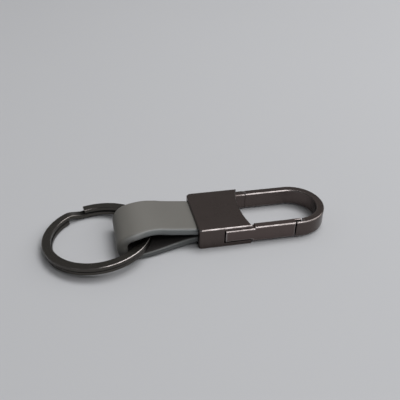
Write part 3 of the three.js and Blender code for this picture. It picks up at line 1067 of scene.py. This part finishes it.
class KEYFOB_OT_strap(bpy.types.Operator):
    """Build the folded leather strap"""

    bl_idname = "keyfob.strap"
    bl_label = "Leather Strap"

    def execute(self, context):
        sizes = context.scene.key_fob_strap
        finish = context.scene.key_fob_finish
        stations, marks = strap_stations()
        strap = self.add_band(sizes, stations, marks)
        screw = SCREW.middle
        sides = (screw.y, -screw.y)
        holes = [rod("screw_hole", (screw.x, y, 0.0), sizes.hole, 0.0, CLASP_TOP) for y in sides]
        work(strap, "DIFFERENCE", holes)
        strap.data.shade_smooth()
        strap.data.set_sharp_from_angle(angle=STRAP_CREASE)
        leather = leather_finish("Strap leather", finish.leather, finish.flesh, finish.edge_paint)
        strap.data.materials.clear()
        strap.data.materials.append(leather)
        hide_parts("leather_strap")
        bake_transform(strap)
        return {"FINISHED"}

    def add_band(self, sizes, stations, marks):
        """The band of leather, with its UV map in millimetres and the attributes that its finish reads."""
        run_end, tip, touch, lower_mouth = marks[2:6]
        crown = (run_end + tip) / 2 + CROWN_LAG
        bm = bmesh.new()
        names = ("edge", "inner", "bend", "lower", "rim")
        layers = {name: bm.verts.layers.float.new(name) for name in names}
        uv = bm.loops.layers.uv.new("Strap")
        rings = []
        unrolled = {}
        for reach, place, outward, bend in stations:
            under = ease(reach, tip, touch)
            into_clasp = ease(reach, touch, lower_mouth)
            past_crown = ease(reach, crown, tip)
            thickness = between(sizes.upper_thickness, sizes.fold_thickness, past_crown)
            thickness = between(thickness, sizes.lower_thickness, under)
            thickness = between(thickness, sizes.end_thickness, into_clasp)
            # Painted shade: round the fold the edge paint fades and the edge takes the dark flesh colour.
            repainted = ease(reach, touch, touch + PAINT_FADE)
            painted = 1 - FOLD_PAINT_SHADE * (ease(reach, run_end, tip) - repainted)
            dark = FOLD_EDGE_SHADE * (ease(reach, tip - FOLD_EDGE_SHADE_LEAD, tip + FOLD_EDGE_SHADE_LEAD) - repainted)
            shift = CROWN_SHIFT * ease(reach, run_end - SHIFT_LEAD, crown)
            shift = between(shift, TOUCH_SHIFT, ease(reach, crown, touch)) * (1 - into_clasp)
            roll = ROLL * ease(reach, run_end - ROLL_LEAD, crown) * (1 - ease(reach, crown, tip + ROLL_LAG))
            ring = []
            girth = 0.0
            section = strap_section(sizes, thickness, sizes.crown * (1 - under))
            for number, (across, off, edge, inner) in enumerate(section):
                x = place.x + outward.x * off
                z = place.y + outward.y * off + across * roll
                vert = bm.verts.new((x, shift + across, z))
                vert[layers["edge"]] = edge * painted
                vert[layers["inner"]] = max(inner, edge * dark)
                # The bend share lightens the grain in the finish: painted light on the crown.
                vert[layers["bend"]] = bend * (1 - past_crown)
                vert[layers["lower"]] = under
                before = section[number - 1]
                if number:
                    girth += math.hypot(across - before[0], off - before[1])
                unrolled[vert] = (reach * PER_MM, girth * PER_MM)
                ring.append(vert)
            rings.append(ring)
        skin(bm, rings)
        for face in bm.faces:
            for loop in face.loops:
                loop[uv].uv = unrolled[loop.vert]
        return add_object("strap", bm)


class Shape(Graph):
    """A new geometry node tree with named inputs, and one for its material."""

    def __init__(self, name, inputs):
        tree = bpy.data.node_groups.new(name, "GeometryNodeTree")
        super().__init__(tree)
        tree.interface.new_socket("Geometry", in_out="OUTPUT", socket_type="NodeSocketGeometry")
        for label, kind in {**inputs, "Material": "Material"}.items():
            tree.interface.new_socket(label, in_out="INPUT", socket_type="NodeSocket" + kind)
        self.group = tree.nodes.new("NodeGroupInput")

    def given(self, label):
        return Value(self, self.group.outputs[label])

    def close(self, geometry):
        """The tree's end: real geometry with its material."""
        real = self.add("GeometryNodeRealizeInstances", {"Geometry": geometry})
        sockets = {"Geometry": real, "Material": self.given("Material")}
        self.add("NodeGroupOutput", {"Geometry": self.add("GeometryNodeSetMaterial", sockets)})

    def bar_along(self, points, profile, upright):
        """A bar with closed ends that follows a line of points with a section."""
        line = self.add("GeometryNodeMeshToCurve", {"Mesh": points})
        if upright:
            line = self.add("GeometryNodeSetCurveNormal", {"Curve": line}, mode="Z_UP")
        sockets = {"Curve": line, "Profile Curve": profile, "Fill Caps": True}
        return self.add("GeometryNodeCurveToMesh", sockets)

    def share_along(self, count):
        """How far along a line of points each one is, from 0 to 1."""
        return self.add("GeometryNodeInputIndex") / (count - 1)

    def placed(self, count, x, y, z):
        """A line of points at worked out places."""
        line = self.add("GeometryNodeMeshLine", {"Count": count})
        place = self.add("ShaderNodeCombineXYZ", {"X": x, "Y": y, "Z": z})
        return self.add("GeometryNodeSetPosition", {"Geometry": line, "Position": place})


def grow(name, shape, values, mesh=None):
    """A new object whose mesh comes from a node tree with these inputs."""
    obj = bpy.data.objects.new(name, mesh or bpy.data.meshes.new(name))
    bpy.context.scene.collection.objects.link(obj)
    nodes = obj.modifiers.new(name, "NODES")
    nodes.node_group = shape.tree
    for item in shape.tree.interface.items_tree:
        if item.in_out == "INPUT" and item.name in values:
            nodes[item.identifier] = values[item.name]
    remake(obj)
    return obj


RING_POINTS = 360
CLIMB_START = math.radians(105)
CLIMB_END = math.radians(125.5)
END_SETBACK = math.radians(2)
FULL_TURN = 2 * math.pi
RING_SIZES = {
    "Radius": "radius",
    "Wire Width": "wire_width",
    "Wire Height": "wire_height",
    "Turn Gap": "turn_gap",
    "Set Back": "set_back",
    "Bevel": "wire_bevel",
    "Soft": "wire_soft",
}


def ring_shape():
    """Flat wire wound twice, climbing from the lower turn to the upper one past the wire's ends."""
    lengths = dict.fromkeys(RING_SIZES, "Float")
    shape = Shape("Split ring", {**lengths, "Place": "Vector", "Turn": "Rotation"})
    width = shape.given("Wire Width")
    height = shape.given("Wire Height")
    start = CLIMB_END + END_SETBACK
    sweep = CLIMB_START - END_SETBACK + 2 * FULL_TURN - start
    angle = start + sweep * shape.share_along(RING_POINTS)
    climb = shape.smooth(angle, CLIMB_START + FULL_TURN, CLIMB_END + FULL_TURN)
    middle = shape.given("Radius") - 0.5 * width - shape.given("Set Back") * (1.0 - climb)
    x = middle * shape.math("COSINE", angle)
    y = middle * shape.math("SINE", angle)
    z = 0.5 * height + (height + shape.given("Turn Gap")) * climb
    section = shape.add("GeometryNodeCurvePrimitiveQuadrilateral", {"Width": width, "Height": height})
    for radius, count in ((shape.given("Bevel"), 1), (shape.given("Soft"), BEVEL_STEPS)):
        sockets = {"Curve": section, "Radius": radius, "Count": count, "Limit Radius": True}
        section = shape.add("GeometryNodeFilletCurve", sockets, mode="POLY")
    sockets = {"Geometry": shape.placed(RING_POINTS, x, y, z), "Name": "climb", "Value": climb}
    path = shape.add("GeometryNodeStoreNamedAttribute", sockets, data_type="FLOAT", domain="POINT")
    wire = shape.bar_along(path, section, upright=True)
    sockets = {"Geometry": wire, "Translation": shape.given("Place"), "Rotation": shape.given("Turn")}
    shape.close(shape.add("GeometryNodeTransform", sockets))
    return shape


class KEYFOB_OT_ring(bpy.types.Operator):
    """Build the split key ring"""

    bl_idname = "keyfob.ring"
    bl_label = "Split Ring"

    def execute(self, context):
        sizes = context.scene.key_fob_ring
        finish = context.scene.key_fob_finish
        joint = JOINTS["ring_turn"]
        turn = tuple(Vector((0.0, 0.0, 1.0)).rotation_difference(Vector(joint["axis"])).to_euler())
        rise = sizes.wire_height + sizes.turn_gap
        material = drawn_wire(
            "Ring plating", finish.ring_steel, finish.gunmetal_worn_and_sheen, finish.ring_roughness,
            joint["pos_m"], turn, sizes.wire_height, rise,
        )
        values = {label: getattr(sizes, size) for label, size in RING_SIZES.items()}
        values.update({"Place": joint["pos_m"], "Turn": turn, "Material": material})
        ring = grow("key_ring", ring_shape(), values)
        settle(ring, material, "ring", "ring_steel", "split_ring")
        return {"FINISHED"}


SPRING_TURNS = 5.0
SPRING_POINTS = 161
SPRING_SIDES = 14
SPRING_WIRE = 0.2 * MM


def spring_shape():
    """A round wire wound along Y."""
    inputs = {"Low": "Vector", "High": "Vector", "Wire": "Float", "Turns": "Float"}
    shape = Shape("Gate spring", inputs)
    low_x, low_y, low_z = shape.axes(shape.given("Low"))
    high_x, high_y, high_z = shape.axes(shape.given("High"))
    wire = shape.given("Wire")
    share = shape.share_along(SPRING_POINTS)
    angle = FULL_TURN * share * shape.given("Turns")
    radius = 0.5 * (high_x - low_x) - wire
    x = 0.5 * (low_x + high_x) + radius * shape.math("COSINE", angle)
    y = low_y + wire + (high_y - low_y - 2.0 * wire) * share
    z = 0.5 * (low_z + high_z) - radius * shape.math("SINE", angle)
    sockets = {"Resolution": SPRING_SIDES, "Radius": wire}
    section = shape.add("GeometryNodeCurvePrimitiveCircle", sockets)
    shape.close(shape.bar_along(shape.placed(SPRING_POINTS, x, y, z), section, upright=False))
    return shape


class KEYFOB_OT_spring(bpy.types.Operator):
    """Build the gate's spring"""

    bl_idname = "keyfob.spring"
    bl_label = "Gate Spring"

    def execute(self, context):
        material = spring_wire("Spring wire", context.scene.key_fob_finish.spring_steel)
        gate_inner = context.scene.key_fob_metal.bar_thickness - HALF_WIDTH
        spring = grow("gate_coil", spring_shape(), {
            "Low": (SPRING.low.x, max(SPRING.low.y, gate_inner + HAIR), SPRING.low.z),
            "High": SPRING.high,
            "Wire": SPRING_WIRE,
            "Turns": SPRING_TURNS,
            "Material": material,
        })
        settle(spring, material, "clasp", "spring_steel", "gate_spring")
        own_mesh(spring)
        return {"FINISHED"}


PIN_CHAMFER = 0.12 * MM
SLOT_HALF = 0.25 * MM
SLOT_DEPTH = 0.4 * MM
SLOT_REACH = 2.0 * MM


def pin_profile(radius, low, high):
    """A pin with both ends chamfered."""
    end = radius - PIN_CHAMFER
    return [(end, low), (radius, low + PIN_CHAMFER), (radius, high - PIN_CHAMFER), (end, high)]


def screw_shape():
    """A row of like screws."""
    inputs = {"Screw": "Geometry", "Count": "Int", "Start": "Vector", "Step": "Vector"}
    shape = Shape("Strap screws", inputs)
    start = shape.given("Start")
    sockets = {"Count": shape.given("Count"), "Start Location": start, "Offset": shape.given("Step")}
    row = shape.add("GeometryNodeMeshLine", sockets)
    sockets = {"Points": row, "Instance": shape.given("Screw")}
    shape.close(shape.add("GeometryNodeInstanceOnPoints", sockets))
    return shape


class KEYFOB_OT_fasteners(bpy.types.Operator):
    """Build the gate's pin, the hook's pin and the strap's screws"""

    bl_idname = "keyfob.fasteners"
    bl_label = "Pins and Screws"

    def execute(self, context):
        profile = pin_profile(GATE_PIN.radius, GATE_PIN.low.z, GATE_PIN.high.z)
        gate_pin = turned("gate_pivot", profile, GATE_PIN.middle)
        settle(gate_pin, gunmetal("Gate pin plating"), "clasp", "gunmetal", "gate_pin")
        profile = pin_profile(HOOK_PIN.radius, HOOK_PIN.low.y, HOOK_PIN.high.y)
        hook_pin = turned("hook_pin", profile, HOOK_PIN.middle, "Y")
        settle(hook_pin, gunmetal("Hook pin plating"), "clasp", "gunmetal", "bow_pin")
        screw = turned("screw", screw_profile(0.0, SCREW.low.z), (0.0, 0.0, 0.0))
        slot_low = (-SLOT_REACH, -SLOT_HALF, -BEYOND)
        slot_high = (SLOT_REACH, SLOT_HALF, SCREW.low.z + SLOT_DEPTH)
        work(screw, "DIFFERENCE", [block("slot", slot_low, slot_high)])
        material = gunmetal("Screw plating")
        screws = grow("strap_screws", screw_shape(), {
            "Count": 2,
            "Start": (SCREW.middle.x, SCREW.middle.y, 0.0),
            "Step": (0.0, -2 * SCREW.middle.y, 0.0),
            "Material": material,
        }, screw.data.copy())
        bpy.data.objects.remove(screw)
        settle(screws, material, "clasp", "gunmetal", "strap_screw_front", "strap_screw_back")
        return {"FINISHED"}


CAMERA_NEAR = 1.0 * MM
CAMERA_FAR = 10.0


class KEYFOB_OT_stage(bpy.types.Operator):
    """Build the camera, the floor and the light"""

    bl_idname = "keyfob.stage"
    bl_label = "Stage"

    def execute(self, context):
        scene = context.scene
        stage = scene.key_fob_stage
        scene.view_settings.view_transform = "Standard"
        self.add_camera(scene, stage)
        self.add_floor(stage)
        key_size = (stage.key_width, stage.key_height)
        back_size = (stage.back_width, stage.back_height)
        self.add_lamp(scene, "Key light", stage.key_power, stage.key_place, stage.key_across, key_size)
        self.add_lamp(scene, "Back light", stage.back_power, stage.back_place, stage.back_across, back_size)
        self.add_sky(scene, stage)
        return {"FINISHED"}

    def add_camera(self, scene, stage):
        level = math.cos(stage.elevation)
        back = Vector((
            math.sin(stage.azimuth) * level, -math.cos(stage.azimuth) * level, math.sin(stage.elevation)
        ))
        right = Vector((0.0, 0.0, 1.0)).cross(back).normalized()
        up = back.cross(right)
        turn = Matrix((right, up, back)).transposed() @ Matrix.Rotation(stage.roll, 3, "Z")
        data = bpy.data.cameras.new("Camera")
        data.lens = stage.lens
        data.clip_start = CAMERA_NEAR
        data.clip_end = CAMERA_FAR
        camera = bpy.data.objects.new("Camera", data)
        camera.matrix_world = Matrix.Translation(stage.camera_place) @ turn.to_4x4()
        scene.collection.objects.link(camera)
        scene.camera = camera

    def add_floor(self, stage):
        half = stage.floor_size / 2
        bm = bmesh.new()
        corners = [bm.verts.new((x, y, 0.0)) for x, y in rectangle((-half, -half), (half, half))]
        bm.faces.new(corners)
        floor = add_object("floor", bm)
        floor.data.materials.append(floor_finish("Plain floor", stage.floor))

    def add_lamp(self, scene, name, power, place, across, size):
        """A soft rectangular lamp that faces the origin, with its width along a direction."""
        data = bpy.data.lights.new(name, "AREA")
        data.shape = "RECTANGLE"
        data.size, data.size_y = size
        data.energy = power
        lamp = bpy.data.objects.new(name, data)
        out = Vector(place).normalized()
        side = (Vector(across) - out * out.dot(across)).normalized()
        turn = Matrix((side, out.cross(side), out)).transposed()
        lamp.matrix_world = Matrix.Translation(place) @ turn.to_4x4()
        scene.collection.objects.link(lamp)

    def add_sky(self, scene, stage):
        """Plain white surroundings, brighter behind than in front."""
        world = bpy.data.worlds.new("Soft surroundings")
        world.use_nodes = True
        world.node_tree.nodes.clear()
        sky = Graph(world.node_tree)
        way = sky.add("ShaderNodeTexCoord", out="Generated")
        behind = 0.5 + 0.5 * sky.axes(way)[1]
        level = stage.sky_front + (stage.sky_back - stage.sky_front) * behind
        light = sky.add("ShaderNodeBackground", {"Color": (1.0, 1.0, 1.0), "Strength": level})
        sky.add("ShaderNodeOutputWorld", {"Surface": light})
        scene.world = world


BUILDERS = (
    KEYFOB_OT_stage,
    KEYFOB_OT_strap,
    KEYFOB_OT_ring,
    KEYFOB_OT_clasp,
    KEYFOB_OT_hook,
    KEYFOB_OT_gate,
    KEYFOB_OT_spring,
    KEYFOB_OT_fasteners,
)
SETTINGS = {
    "key_fob_metal": KeyFobMetal,
    "key_fob_strap": KeyFobStrap,
    "key_fob_ring": KeyFobRing,
    "key_fob_finish": KeyFobFinish,
    "key_fob_stage": KeyFobStage,
}


class KEYFOB_PT_panel(bpy.types.Panel):
    """The key fob's builders and sizes"""

    bl_idname = "KEYFOB_PT_panel"
    bl_label = "Key Fob"
    bl_space_type = "VIEW_3D"
    bl_region_type = "UI"
    bl_category = "Key Fob"

    def draw(self, context):
        for builder in BUILDERS:
            self.layout.operator(builder.bl_idname)
        for name, group in SETTINGS.items():
            box = self.layout.box()
            box.label(text=group.__doc__)
            for prop in group.__annotations__:
                box.prop(getattr(context.scene, name), prop)


CLASSES = (*SETTINGS.values(), *BUILDERS, KEYFOB_PT_panel)


def register():
    for cls in CLASSES:
        bpy.utils.register_class(cls)
    for name, group in SETTINGS.items():
        setattr(bpy.types.Scene, name, bpy.props.PointerProperty(type=group))


def unregister():
    for name in SETTINGS:
        delattr(bpy.types.Scene, name)
    for cls in reversed(CLASSES):
        bpy.utils.unregister_class(cls)


def main():
    register()
    bpy.ops.keyfob.stage()
    bpy.ops.keyfob.strap()
    bpy.ops.keyfob.ring()
    bpy.ops.keyfob.clasp()
    bpy.ops.keyfob.hook()
    bpy.ops.keyfob.gate()
    bpy.ops.keyfob.spring()
    bpy.ops.keyfob.fasteners()


if __name__ == "__main__":
    main()
